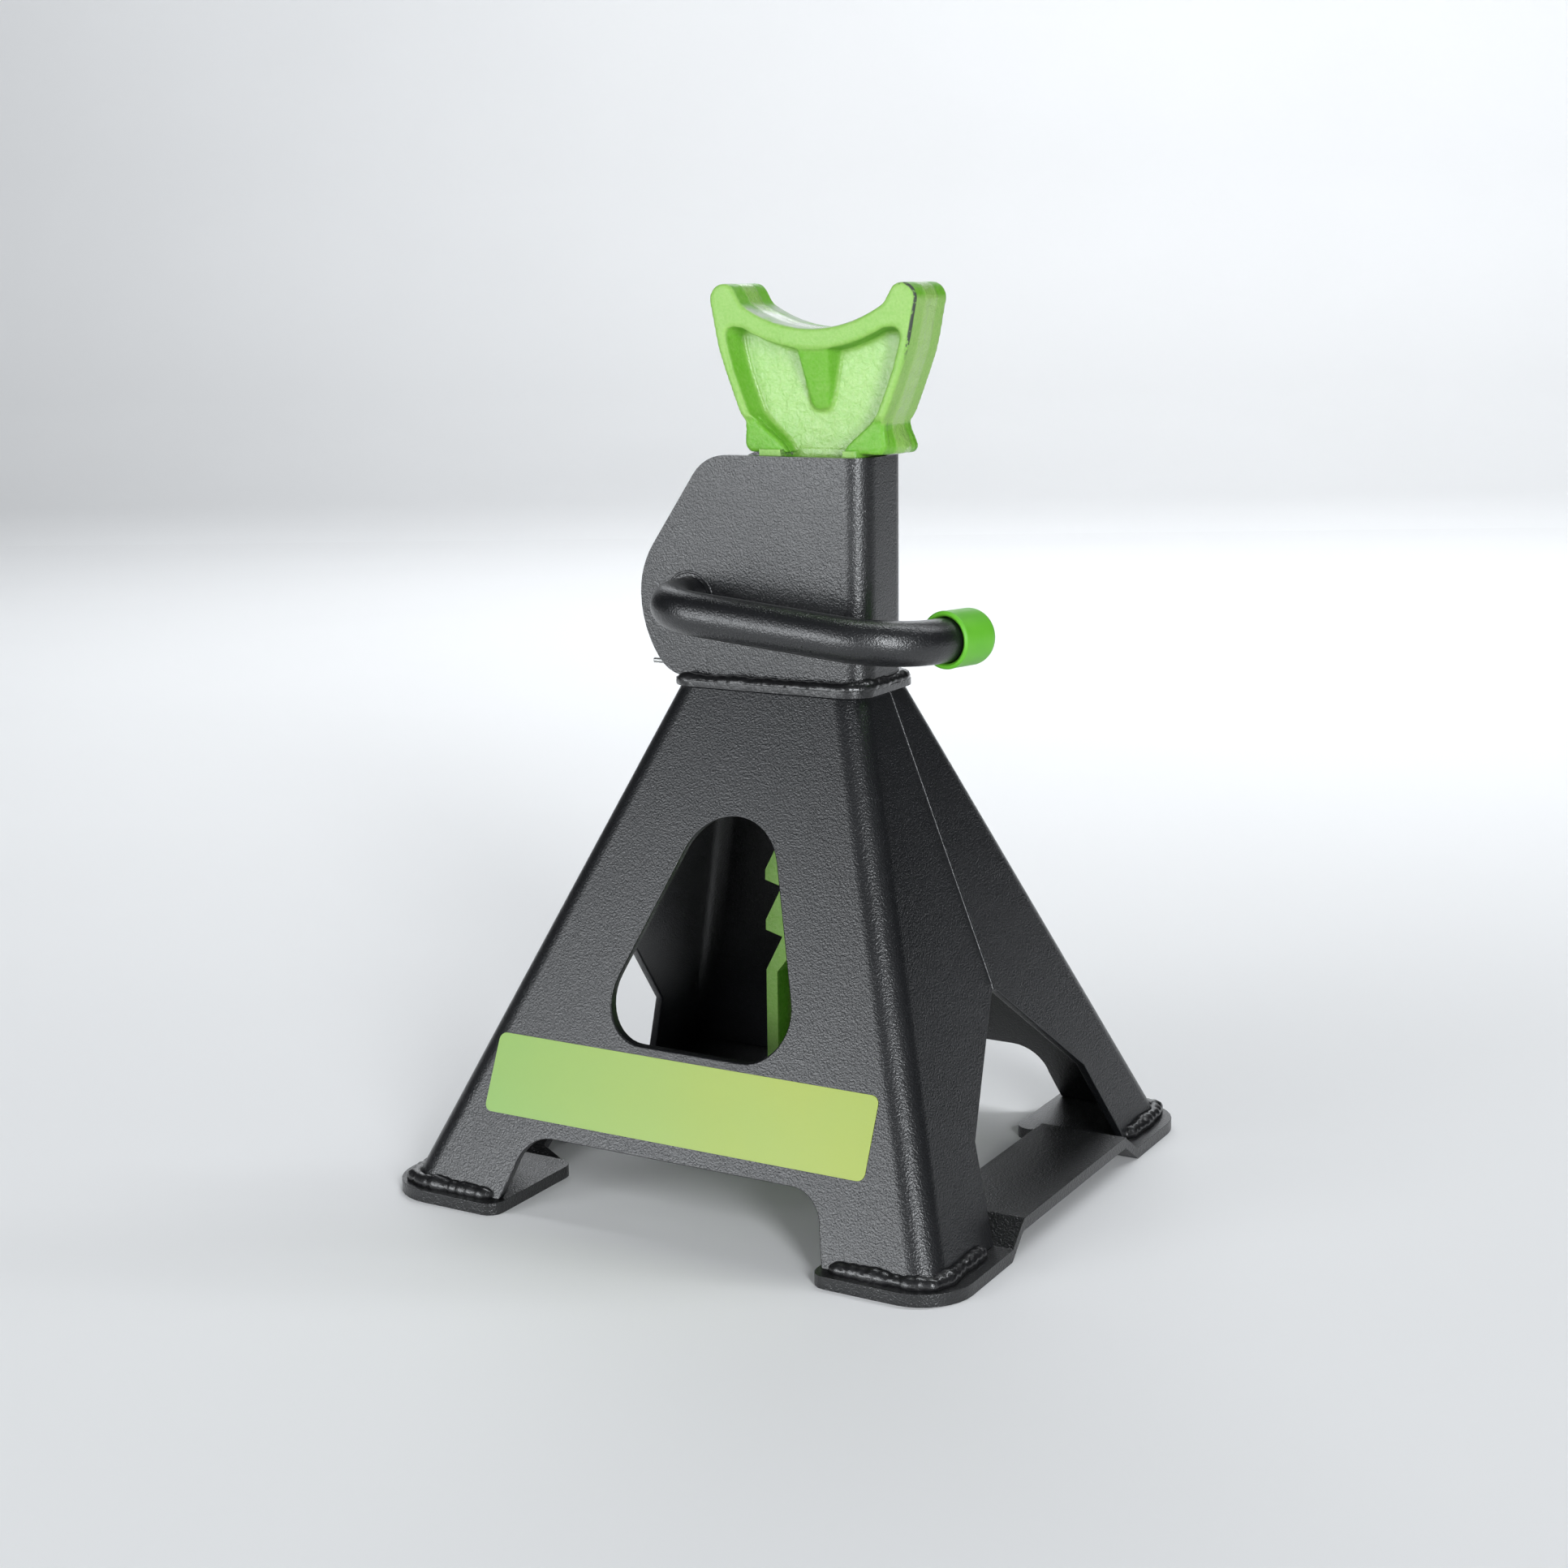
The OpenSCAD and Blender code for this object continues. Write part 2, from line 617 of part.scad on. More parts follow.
module return_spring() {
    turns = 3;
    step = 1.8 * wire_r;
    first = -mast_in_d + latch_gap + wire_r;
    leg_l = 22;
    leg_r = 0.9 * wire_r;
    coils = concat([for (i = [0 : turns - 1]) each arc([coil_r, i * step], wire_r, -60, 60, 4)],
                   [for (i = [turns - 1 : -1 : 0]) each arc([coil_r, i * step], wire_r, 120, 240, 4)]);
    color(steel) translate([-pivot_x, first, pivot_z]) {
        rotate([-90, 0, 0]) rotate_extrude() polygon(coils);
        translate([-coil_r, 0.05, -leg_l]) cylinder(h = leg_l - 1, r = leg_r);
        translate([leg_r / 2 - coil_r, 0.05, -leg_l]) rotate([0, -90, 0]) cylinder(h = 8, r = 0.95 * leg_r);
        // The other leg leaves the last turn and bends in over the pawl
        rotate([0, 30, 0]) translate([-coil_r, (turns - 1) * step - 0.05, 1]) {
            cylinder(h = 11, r = leg_r);
            translate([0, -leg_r / 2, 11 - leg_r / 2]) rotate([-90, 0, 0]) cylinder(h = 6.5, r = 0.95 * leg_r);
        }
    }
}

module spring_anchor_pin() {
    r = 2.5;
    color(steel) translate([-pivot_x - coil_r + wire_r + r + 0.1, 0, pivot_z - 19]) rotate([90, 0, 0])
        cylinder(h = 2 * mast_in_d, r = r, center = true);
}

// ---------- label ----------

module label_sheet() {
    x0 = -71.6;
    x1 = 67.6;
    low = 28.9;
    high = 52.5;
    lean = atan(slope_d);
    grow = sqrt(1 + slope_d * slope_d);
    color("#b4d65c") translate([(x0 + x1) / 2, -shell_d((low + high) / 2), (low + high) / 2])
        rotate([90 - lean, 0, 0]) linear_extrude(0.2)
            polygon(round_rect((x1 - x0) / 2, (high - low) * grow / 2, 2.5, 4));
}

base_shell_front();
base_shell_rear();
seam_weld_left();
seam_weld_right();
foot_strap_left();
foot_strap_right();
foot_welds();
mast_channel();
neck_weld();
upper_guide_plate();
lower_guide_plate();
ratchet_column();
column_stop_pin();
handle_lever();
handle_cap();
locking_pawl();
pawl_roll_pin();
shaft_washer();
shaft_split_pin();
return_spring();
spring_anchor_pin();
label_sheet();
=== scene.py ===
import math

import bmesh
import bpy
from mathutils import Matrix, Vector, noise


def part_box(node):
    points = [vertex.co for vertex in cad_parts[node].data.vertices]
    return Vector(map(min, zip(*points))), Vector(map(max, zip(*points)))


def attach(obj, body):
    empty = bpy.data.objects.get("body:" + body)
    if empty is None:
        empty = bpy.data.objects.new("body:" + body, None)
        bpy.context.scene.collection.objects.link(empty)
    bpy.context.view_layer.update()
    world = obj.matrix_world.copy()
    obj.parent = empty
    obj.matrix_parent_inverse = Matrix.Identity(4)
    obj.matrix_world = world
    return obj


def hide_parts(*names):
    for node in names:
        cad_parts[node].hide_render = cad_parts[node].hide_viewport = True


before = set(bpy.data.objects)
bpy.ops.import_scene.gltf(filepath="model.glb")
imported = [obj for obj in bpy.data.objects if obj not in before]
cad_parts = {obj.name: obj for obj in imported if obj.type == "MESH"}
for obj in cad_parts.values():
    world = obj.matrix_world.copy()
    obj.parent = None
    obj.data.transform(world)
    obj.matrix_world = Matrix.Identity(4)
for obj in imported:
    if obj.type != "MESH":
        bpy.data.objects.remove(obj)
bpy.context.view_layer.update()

# ---------------------------------------------------------------------------
# Pyramid base. Two pressings of 3 mm sheet, bent at the corners and welded together up both
# sides, with a rounded window and an arch in the front and the rear, and a tall opening in
# each side. All of it is dipped in a black powder coat that cures to a fine leathery grain.
# ---------------------------------------------------------------------------
MM = 0.001


class Tone:
    """One output of a shader node. Sums, products and so on of tones add Math nodes."""

    def __init__(self, tree, socket=None):
        self.tree, self.socket = tree, socket

    def node(self, kind, settings, inputs, output=0):
        made = self.tree.nodes.new("ShaderNode" + kind)
        for name, value in settings.items():
            setattr(made, name, value)
        for name, value in inputs.items():
            if isinstance(value, Tone):
                self.tree.links.new(value.socket, made.inputs[name])
            else:
                made.inputs[name].default_value = value
        return Tone(self.tree, made.outputs[output])

    def math(self, operation, a, b=0.0, clamp=False):
        return self.node("Math", {"operation": operation, "use_clamp": clamp}, {0: a, 1: b})

    def __add__(self, other): return self.math("ADD", self, other)
    def __radd__(self, other): return self.math("ADD", other, self)
    def __sub__(self, other): return self.math("SUBTRACT", self, other)
    def __rsub__(self, other): return self.math("SUBTRACT", other, self)
    def __mul__(self, other): return self.math("MULTIPLY", self, other)
    def __rmul__(self, other): return self.math("MULTIPLY", other, self)
    def __abs__(self): return self.math("ABSOLUTE", self)

    def above(self, start, width):
        """0 below start, 1 above start + width"""
        return self.math("MULTIPLY", self - start, 1 / width, clamp=True)

    def below(self, end, width):
        return 1 - self.above(end, width)

    def blend(self, a, b):
        """Colour a where this tone is 0, and colour b where it is 1"""
        return self.node("Mix", {"data_type": "RGBA"}, {0: self, 6: a, 7: b}, 2)


def material(name, roughness, metallic=0.0, coat=0.0, coat_roughness=0.1, specular=0.5):
    made = bpy.data.materials.new(name)
    made.use_nodes = True
    shader = made.node_tree.nodes["Principled BSDF"]
    shader.inputs["Roughness"].default_value = roughness
    shader.inputs["Metallic"].default_value = metallic
    shader.inputs["Coat Weight"].default_value = coat
    shader.inputs["Coat Roughness"].default_value = coat_roughness
    shader.inputs["Specular IOR Level"].default_value = specular
    return made, shader, Tone(made.node_tree)


def feed(shader, **tones):
    for name, tone in tones.items():
        shader.id_data.links.new(tone.socket, shader.inputs[name.replace("_", " ")])


def place(tone):
    """The object coordinates"""
    return tone.node("TexCoord", {}, {}, "Object")


def speckle(tone, spot, size, detail=2.0, rough=0.5, lean=0.0):
    """Noise whose grains are about this many millimetres across"""
    return tone.node("TexNoise", {}, {"Vector": spot, "Scale": 1 / (size * MM), "Detail": detail,
                                      "Roughness": rough, "Distortion": lean})


def powder_coat(name, grain=0.5, tint=(0.0045, 0.0048, 0.0056, 1)):
    made, shader, tone = material(name, 0.4, coat=0.1, coat_roughness=0.25, specular=0.75)
    spot = place(tone)
    wrinkle = speckle(tone, spot, 0.65, 1.0, 0.5, 0.4)
    pores = speckle(tone, spot, 0.45, 1.0)
    cloud = speckle(tone, spot, 38, 3.0)
    light = tuple(1.7 * c for c in tint[:3]) + (1,)
    feed(shader, Base_Color=(0.7 * cloud + 0.3 * pores).blend(tint, light),
         Roughness=0.22 + 0.12 * cloud + 0.06 * pores,
         Normal=tone.node("Bump", {}, {"Strength": grain, "Distance": 0.3 * MM,
                                       "Height": wrinkle + 0.4 * pores}))
    return made


def piece(name, mesh, finish, slot, body, *nodes, smooth=50):
    """Turns a bmesh into a piece that rides on a body and stands for CAD nodes"""
    data = bpy.data.meshes.new(name)
    mesh.to_mesh(data)
    mesh.free()
    made = bpy.data.objects.new(name, data)
    bpy.context.collection.objects.link(made)
    data.materials.append(finish)
    data.shade_smooth()
    data.set_sharp_from_angle(angle=math.radians(smooth))
    made.modifiers.new("flat_faces", "WEIGHTED_NORMAL").keep_sharp = True
    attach(made, body)
    if nodes:
        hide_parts(*nodes)
    return made


def pressing(node, edge, steps=2, corner=38):
    """The CAD node's shape, with its cut edges rounded over"""
    mesh = bmesh.new()
    mesh.from_mesh(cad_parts[node].data)
    bmesh.ops.remove_doubles(mesh, verts=mesh.verts, dist=0.004 * MM)
    bmesh.ops.dissolve_limit(mesh, angle_limit=math.radians(0.6), verts=mesh.verts, edges=mesh.edges,
                             delimit=set())
    sharp = [e for e in mesh.edges if e.is_manifold and e.calc_face_angle(0) > math.radians(corner)]
    bmesh.ops.bevel(mesh, geom=sharp, offset=edge * MM, segments=steps, profile=0.5, material=-1,
                    affect="EDGES", clamp_overlap=True)
    return mesh


black_coat = powder_coat("black_powder_coat")
piece("front_pressing", pressing("base_shell_front", 0.5), black_coat, "black_powder_coat", "root",
      "base_shell_front")
piece("rear_pressing", pressing("base_shell_rear", 0.5), black_coat, "black_powder_coat", "root",
      "base_shell_rear")

# ---------------------------------------------------------------------------
# Weld beads. One heavy bead joins the mast to the pyramid's rim, fillets hold the legs on
# their foot plates, and a fine bead closes each side seam. All are laid by hand, so they
# ripple and swell, and the powder coat has run smooth and glossy over them.
# ---------------------------------------------------------------------------
def tube(points, radii, sides=12, squash=1.0, lumps=0.0):
    """A closed round bar along a line of points in millimetres, with a radius at each"""
    mesh = bmesh.new()
    path = [Vector(p) * MM for p in points]
    ring = bmesh.ops.create_circle(mesh, segments=sides, radius=1)["verts"]
    loop = list(mesh.edges)
    last = Matrix.Identity(4)
    side = None
    for i, at in enumerate(path):
        along = (path[min(i + 1, len(path) - 1)] - path[max(i - 1, 0)]).normalized()
        if side is None:
            side = along.orthogonal().normalized()
        side = (side - along * side.dot(along)).normalized()
        turn = Matrix((side, along.cross(side), along)).transposed().to_4x4()
        size = radii[i] * MM
        now = Matrix.Translation(at) @ turn @ Matrix.Diagonal((size, size * squash, size, 1))
        if i:
            made = bmesh.ops.extrude_edge_only(mesh, edges=loop)["geom"]
            ring = [v for v in made if isinstance(v, bmesh.types.BMVert)]
            loop = [e for e in made if isinstance(e, bmesh.types.BMEdge)]
        bmesh.ops.transform(mesh, matrix=now @ last.inverted(), verts=ring)
        last = now
    bmesh.ops.holes_fill(mesh, edges=[e for e in mesh.edges if e.is_boundary], sides=0)
    bmesh.ops.recalc_face_normals(mesh, faces=mesh.faces)
    if lumps:
        for v in mesh.verts:
            v.co += lumps * MM * noise.noise_vector(v.co / (4 * MM))
    return mesh


def weld(points, radius, seed, pitch=3.2, step=0.7):
    """A rippled bead along straight runs between points"""
    route, radii = [], []
    spots = [Vector(p) for p in points]
    total = sum((b - a).length for a, b in zip(spots, spots[1:]))
    done = 0.0
    for a, b in zip(spots, spots[1:]):
        count = max(2, round((b - a).length / step))
        for i in range(count):
            route.append(a.lerp(b, i / count))
            done += (b - a).length / count
            end = min(1, done / 4 + 0.25, (total - done) / 4 + 0.25)
            swell = noise.noise(Vector((done / 9, seed, 0)))
            radii.append(radius * end * (1 + 0.045 * math.sin(done * math.tau / pitch) + 0.3 * swell))
    route.append(spots[-1])
    radii.append(0.2 * radius)
    return tube(route, radii, 12, lumps=0.35 * radius * 0.3)


def joined(meshes):
    whole = bmesh.new()
    for mesh in meshes:
        data = bpy.data.meshes.new("part")
        mesh.to_mesh(data)
        mesh.free()
        whole.from_mesh(data)
        bpy.data.meshes.remove(data)
    return whole


def weld_coat():
    made, shader, tone = material("black_coat_on_weld", 0.3, coat=0.5, coat_roughness=0.15)
    spot = place(tone)
    slag = speckle(tone, spot, 2.2, 3.0, 0.6, 0.4)
    fine = speckle(tone, spot, 0.7, 1.0)
    feed(shader, Base_Color=slag.blend((0.003, 0.003, 0.0035, 1), (0.012, 0.012, 0.013, 1)),
         Roughness=0.2 + 0.25 * slag,
         Normal=tone.node("Bump", {}, {"Strength": 0.6, "Distance": 0.6 * MM,
                                       "Height": slag + 0.2 * fine}))
    return made


weld_black = weld_coat()
neck_low, neck_high = (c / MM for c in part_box("neck_weld"))
neck_z = neck_low.z
neck_r, corner_r = 2.3, 7
left, right, front = neck_low.x + 3, neck_high.x - 2.2, neck_low.y + 2.6
around = [(right - corner_r + corner_r * math.sin(a), front + corner_r - corner_r * math.cos(a),
           neck_z + 2.2 + 0.6 * math.sin(a)) for a in (0, 0.4, 0.8, 1.2, math.pi / 2)]
around_rear = [(x, -y, z) for x, y, z in reversed(around)]
neck_bead = weld([(left, front, neck_z + 1.7), (0, front, neck_z + 1.9)] + around + around_rear
                 + [(0, -front, neck_z + 1.9), (left, -front, neck_z + 1.7)], neck_r, 1.0, 4.2)
ledge = pressing("neck_weld", 0.8)
bmesh.ops.scale(ledge, vec=(1, 1, 0.55), space=Matrix.Translation((0, 0, -neck_z * MM)),
                verts=ledge.verts)
piece("neck_bead", joined([neck_bead, ledge]), weld_black, "black_powder_coat", "root", "neck_weld")

foot_low, foot_high = (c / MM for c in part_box("foot_welds"))
plate_top = foot_low.z
beads = []
edge_x, edge_y, lift = foot_high.x - 4.2, foot_high.y - 4.2, plate_top + 1.0
for sx in (-1, 1):
    for sy in (-1, 1):
        seed = 3 * sx + sy
        beads.append(weld([(sx * 62, sy * (edge_y + 1.0), lift),
                           (sx * (edge_x - 7), sy * (edge_y + 0.8), lift),
                           (sx * (edge_x - 1), sy * (edge_y - 1.5), lift),
                           (sx * (edge_x + 0.8), sy * (edge_y - 8), lift),
                           (sx * (edge_x + 0.8), sy * 56, lift)], 2.6, seed, 3.6))
piece("foot_beads", joined(beads), weld_black, "black_powder_coat", "root", "foot_welds")

for hand in ("left", "right"):
    low, high = (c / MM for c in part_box("seam_weld_" + hand))
    outer = high.x if hand == "right" else low.x
    inner = low.x if hand == "right" else high.x
    sign = 1 if hand == "right" else -1
    middle = (low.y + high.y) / 2
    seam = tube([(outer - sign * 0.75, middle, low.z), (inner, middle, high.z)], [0.5, 0.5], 8)
    piece("seam_bead_" + hand, seam, black_coat, "black_powder_coat", "root", "seam_weld_" + hand)

# ---------------------------------------------------------------------------
# Foot straps. A flat bar under each side, stepped up in the middle, so that only its two
# wide end plates touch the ground. Their corners and edges are ground off before coating.
# ---------------------------------------------------------------------------
strap_coat = powder_coat("black_coat_on_straps", 0.7, (0.004, 0.0042, 0.0046, 1))
for hand in ("left", "right"):
    piece("foot_bar_" + hand, pressing("foot_strap_" + hand, 0.9, 3, 30), strap_coat, "black_powder_coat",
          "root", "foot_strap_" + hand)

# ---------------------------------------------------------------------------
# Mast. A folded channel of 3 mm sheet whose two cheeks bulge to the left round the pivot.
# The handle's hole is dished and has a rolled lip, and two plates between the cheeks guide
# the column.
# ---------------------------------------------------------------------------
piece("mast", pressing("mast_channel", 0.5), black_coat, "black_powder_coat", "root", "mast_channel")
pivot = Vector((-30, 0, 190.5))
mast_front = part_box("mast_channel")[0].y / MM
ring = [pivot + Vector((8.5 * math.cos(a), mast_front + 0.55, 8.5 * math.sin(a)))
        for a in [math.tau * i / 48 for i in range(49)]]
piece("pivot_lip", tube(ring, [0.75] * 49, 10), black_coat, "black_powder_coat", "root")
for node in ("upper_guide_plate", "lower_guide_plate"):
    piece(node.replace("_plate", ""), pressing(node, 0.5), black_coat, "black_powder_coat", "root", node)

# ---------------------------------------------------------------------------
# Ratchet column. One iron casting: a toothed bar with a pocket down each side, and a saddle
# with two horns, a round seat, and a pocket in each face with a wedge rib under the seat.
# It has thick green paint over the rough casting, rubbed grey on the seat, with painted sheen on its lit
# faces and painted shade in its pockets' walls.
# ---------------------------------------------------------------------------
def arc(cx, cz, r, start, end, n):
    return [(cx + r * math.cos(math.radians(start + (end - start) * i / n)),
             cz + r * math.sin(math.radians(start + (end - start) * i / n))) for i in range(n + 1)]


def slab(outline, y0, y1, shrink=(1, 1), about=(0, 0)):
    """A solid whose outline lies in X and Z, from y0 to y1, with the far face shrunk for draft"""
    mesh = bmesh.new()
    face = mesh.faces.new([mesh.verts.new((x * MM, y0 * MM, z * MM)) for x, z in outline])
    far = bmesh.ops.extrude_face_region(mesh, geom=[face])["geom"]
    far = [v for v in far if isinstance(v, bmesh.types.BMVert)]
    bmesh.ops.translate(mesh, vec=(0, (y1 - y0) * MM, 0), verts=far)
    bmesh.ops.scale(mesh, vec=(shrink[0], 1, shrink[1]), verts=far,
                    space=Matrix.Translation((-about[0] * MM, 0, -about[1] * MM)))
    bmesh.ops.recalc_face_normals(mesh, faces=mesh.faces)
    return mesh


def loose(mesh):
    data = bpy.data.meshes.new("blank")
    mesh.to_mesh(data)
    mesh.free()
    blank = bpy.data.objects.new("blank", data)
    bpy.context.collection.objects.link(blank)
    return blank


def baked(blank):
    """The mesh that an object's modifiers make; the object itself is removed"""
    bpy.context.view_layer.update()
    shaped = bpy.data.meshes.new_from_object(blank.evaluated_get(bpy.context.evaluated_depsgraph_get()))
    mesh = bmesh.new()
    mesh.from_mesh(shaped)
    bpy.data.objects.remove(blank)
    return mesh


saddle_x = 13.9
saddle_z = 237.8
half_deep = 11.0
half = ([(26.6, 0), (27.6, 1.0), (27.8, 2.4), (26.6, 5.2), (25.4, 7.4), (24.9, 9.4), (25.5, 11.6),
         (26.4, 13.2), (29, 19.7), (31.3, 25.7), (33.4, 31.7), (34.7, 37.2), (35.7, 42.7)]
        + arc(31.7, 47.7, 5.0, 0, 130, 10) + [(27.4, 49.9), (26.4, 48.1), (25.3, 46.3)]
        + arc(0, 84.8, 46, 301.5, 270, 14))
outline = half + [(-x, z) for x, z in reversed(half[:-1])]
blank = loose(slab([(saddle_x + x, saddle_z + z) for x, z in outline], -half_deep, half_deep))
mouth = ([(9.5, -3), (13, 2.7), (18.7, 7.9), (23.2, 12.4), (26.4, 20.1), (28.9, 26.7), (30.9, 33.8)]
         + arc(28.6, 36.7, 2.9, -5, 110, 5) + arc(0, 84.8, 52.2, 299, 270, 8))
mouth = mouth + [(-x, z) for x, z in reversed(mouth[:-1])]
for face in (-1, 1):
    pocket = loose(slab([(saddle_x + x, saddle_z + z) for x, z in mouth], face * (half_deep + 0.5), face * 3,
                        (0.9, 0.94), (saddle_x, saddle_z + 12)))
    cut = blank.modifiers.new("pocket", "BOOLEAN")
    cut.object, cut.operation, cut.solver = pocket, "DIFFERENCE", "EXACT"
    shaped = baked(blank)
    bpy.data.objects.remove(pocket)
    blank = loose(shaped)
    # The rib: full depth under the seat, sloping back into the web at its rounded lower end
    rib = slab([(saddle_x + x, saddle_z + z) for x, z in
                [(-5.7, 34), (5.7, 34), (3.4, 16), (2.4, 14.2), (0, 13.6), (-2.4, 14.2), (-3.4, 16)]],
               face * (half_deep - 0.5), face * 2, (1.35, 1.04), (saddle_x, saddle_z + 33))
    for v in rib.verts:
        if abs(v.co.y) > 3 * MM and v.co.z < (saddle_z + 20) * MM:
            v.co.y = face * 4.6 * MM
    bmesh.ops.recalc_face_normals(rib, faces=rib.faces)
    rib = loose(rib)
    add = blank.modifiers.new("rib", "BOOLEAN")
    add.object, add.operation, add.solver = rib, "UNION", "EXACT"
    shaped = baked(blank)
    bpy.data.objects.remove(rib)
    blank = loose(shaped)
remesh = blank.modifiers.new("cast", "REMESH")
remesh.mode, remesh.voxel_size = "VOXEL", 0.62 * MM
saddle = baked(blank)
for v in saddle.verts:
    # Below the waist the foot's faces are set back, and the foot narrows towards the front
    z = v.co.z / MM - saddle_z
    if z < 11.5 and abs(v.co.y) > 8 * MM:
        v.co.y -= math.copysign(min(1, (11.5 - z) / 1.2) * (1.4 + 0.06 * (11 - z)) * MM, v.co.y)
    if z < 9 and v.co.y < 0:
        v.co.x += (saddle_x * MM - v.co.x) * 0.13 * (1 - max(z, 0) / 9) * min(1, -v.co.y / (9 * MM))
for factor in (0.5, 0.5, 0.4):
    bmesh.ops.smooth_vert(saddle, verts=saddle.verts, factor=factor, use_axis_x=True, use_axis_y=True,
                          use_axis_z=True)

# The toothed bar, cut off at the saddle's underside and carried a little way up into it
bar = bmesh.new()
bar.from_mesh(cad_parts["ratchet_column"].data)
bmesh.ops.remove_doubles(bar, verts=bar.verts, dist=0.004 * MM)
bmesh.ops.bisect_plane(bar, geom=list(bar.verts) + list(bar.edges) + list(bar.faces),
                       plane_co=(0, 0, 0.2377), plane_no=(0, 0, 1), clear_outer=True)
cut_end = bmesh.ops.holes_fill(bar, edges=[e for e in bar.edges if e.is_boundary], sides=0)["faces"]
risen = bmesh.ops.extrude_face_region(bar, geom=cut_end)["geom"]
bmesh.ops.translate(bar, vec=(0, 0, 1.2 * MM),
                    verts=[v for v in risen if isinstance(v, bmesh.types.BMVert)])
bmesh.ops.delete(bar, geom=[f for f in cut_end if f.is_valid], context="FACES")
bmesh.ops.dissolve_limit(bar, angle_limit=math.radians(0.6), verts=bar.verts, edges=bar.edges,
                         delimit=set())
sharp = [e for e in bar.edges if e.is_manifold and e.calc_face_angle(0) > math.radians(30)
         and max(v.co.z for v in e.verts) < 0.2375]
bmesh.ops.bevel(bar, geom=sharp, offset=0.7 * MM, segments=3, profile=0.5, material=-1, affect="EDGES",
                clamp_overlap=True)


def green_paint():
    made, shader, tone = material("green_paint", 0.3, coat_roughness=0.15, specular=0.4)
    spot = place(tone)
    x, y, z = [tone.node("SeparateXYZ", {}, {0: spot}, i) for i in range(3)]
    off = x - saddle_x * MM

    def away_from(across, height):
        """Distance from a line along Y, given from the saddle's own middle and underside"""
        level = tone.node("CombineXYZ", {}, {0: x - (saddle_x + across) * MM, 1: 0.0,
                                             2: z - (saddle_z + height) * MM})
        return tone.node("VectorMath", {"operation": "LENGTH"}, {0: level}, "Value")

    # deep is the green of the painted shade, and pale is the green of the painted sheen and light
    deep, pale = (0.12, 0.385, 0.016, 1), (0.295, 0.505, 0.125, 1)
    cast = speckle(tone, spot, 3.4, 4.0, 0.6, 0.5)
    fine = speckle(tone, spot, 1.1, 2.0, 0.6)
    cloud = speckle(tone, spot, 14, 2.0)
    # The greens carry painted light and shade: the web, the rims' faces and the outer sides are painted pale
    # as sheen and light falling on them, and the rest, chiefly the pockets' walls, stays deep green as
    # painted shade. The cloud and fine noise vary the paint's own tone.
    in_face = abs(y).above(9.6 * MM, 0.9 * MM)
    on_web = abs(y).below(3.3 * MM, 1.4 * MM)
    flank = (abs(off) - 0.33 * (z - saddle_z * MM)).above(20.3 * MM, 0.6 * MM)
    flank = flank * z.above((saddle_z + 9) * MM, 1 * MM) * (1 - in_face)
    painted_light_and_mottle = 0.35 * cloud + 0.55 * in_face + 0.6 * on_web + 0.65 * flank + 0.8 * (fine - 0.5)
    colour = painted_light_and_mottle.blend(deep, pale)
    # The seat is rubbed to grey, and the right horn's front edge is chipped dark
    seat = away_from(0, 84.8).below(46.1 * MM, 0.35 * MM) * speckle(tone, spot, 7, 3.0).above(0.32, 0.25)
    seat = seat * abs(off).below(23 * MM, 2 * MM)
    rim_x = x - 0.2 * (z - 0.2695) - (saddle_x + 32.6) * MM
    low_part = z.below(0.2855, 0.0006)
    outer = rim_x.above(0, 0.4 * MM) * low_part
    outer = outer + away_from(31.7, 47.7).above(4.1 * MM, 0.4 * MM) * (1 - low_part)
    edge = outer * (y + half_deep * MM).below(0.9 * MM, 0.5 * MM)
    edge = edge * x.above(44.5 * MM, 0.6 * MM) * z.above(0.266, 0.006)
    chip = edge * (0.5 * fine + 0.5 * speckle(tone, spot, 2.6, 2.0)).above(0.4, 0.06)
    colour = (seat * 0.75).blend(colour, (0.42, 0.46, 0.40, 1))
    colour = chip.blend(colour, (0.045, 0.055, 0.045, 1))
    feed(shader, Base_Color=colour, Coat_Weight=0.06 + 0.3 * on_web,
         Roughness=0.36 + 0.16 * cast - 0.22 * on_web + 0.14 * flank + 0.25 * chip,
         Normal=tone.node("Bump", {}, {"Strength": 0.75, "Distance": 0.6 * MM,
                                       "Height": cast * (0.8 + 0.7 * on_web + 0.9 * flank) + 0.3 * fine}))
    return made


piece("column_casting", joined([saddle, bar]), green_paint(), "green_paint", "column", "ratchet_column",
      smooth=70)

# ---------------------------------------------------------------------------
# Handle. A 14 mm steel rod, bent twice: out of the mast's front, across it, and back beside
# it, where a dipped vinyl cap covers the end. It turns in the cheeks with the pawl.
# ---------------------------------------------------------------------------
droop = math.radians(5.2)
reach, first_r, run, last_r, last_turn, straight = -38.0, 18.0, 67.5, 24.0, 78.0, 5.0
rod_r = 7.0
flat = [(0, 22.7), (0, 14), (0, 0), (0, -10)]
flat += [(first_r - first_r * math.cos(a), reach + first_r - first_r * math.sin(a))
         for a in [math.radians(90 * i / 14) for i in range(15)]]
flat += [(first_r + (run - first_r) * i / 6, reach) for i in range(1, 6)]
flat += [(run + last_r * math.sin(a), reach + last_r - last_r * math.cos(a))
         for a in [math.radians(last_turn * i / 14) for i in range(15)]]
end_x, end_y = flat[-1]
ahead = Vector((math.cos(math.radians(last_turn)), math.sin(math.radians(last_turn)), 0))
flat += [(end_x + ahead.x * d, end_y + ahead.y * d) for d in (2.5, 5, 12)]
hang = Matrix.Translation(pivot) @ Matrix.Rotation(droop, 4, "Y")
rod = tube([hang @ Vector((x, y, 0)) for x, y in flat], [rod_r] * len(flat), 40)
piece("handle_rod", rod, powder_coat("black_coat_on_rod", 0.5), "black_powder_coat", "handle",
      "handle_lever")

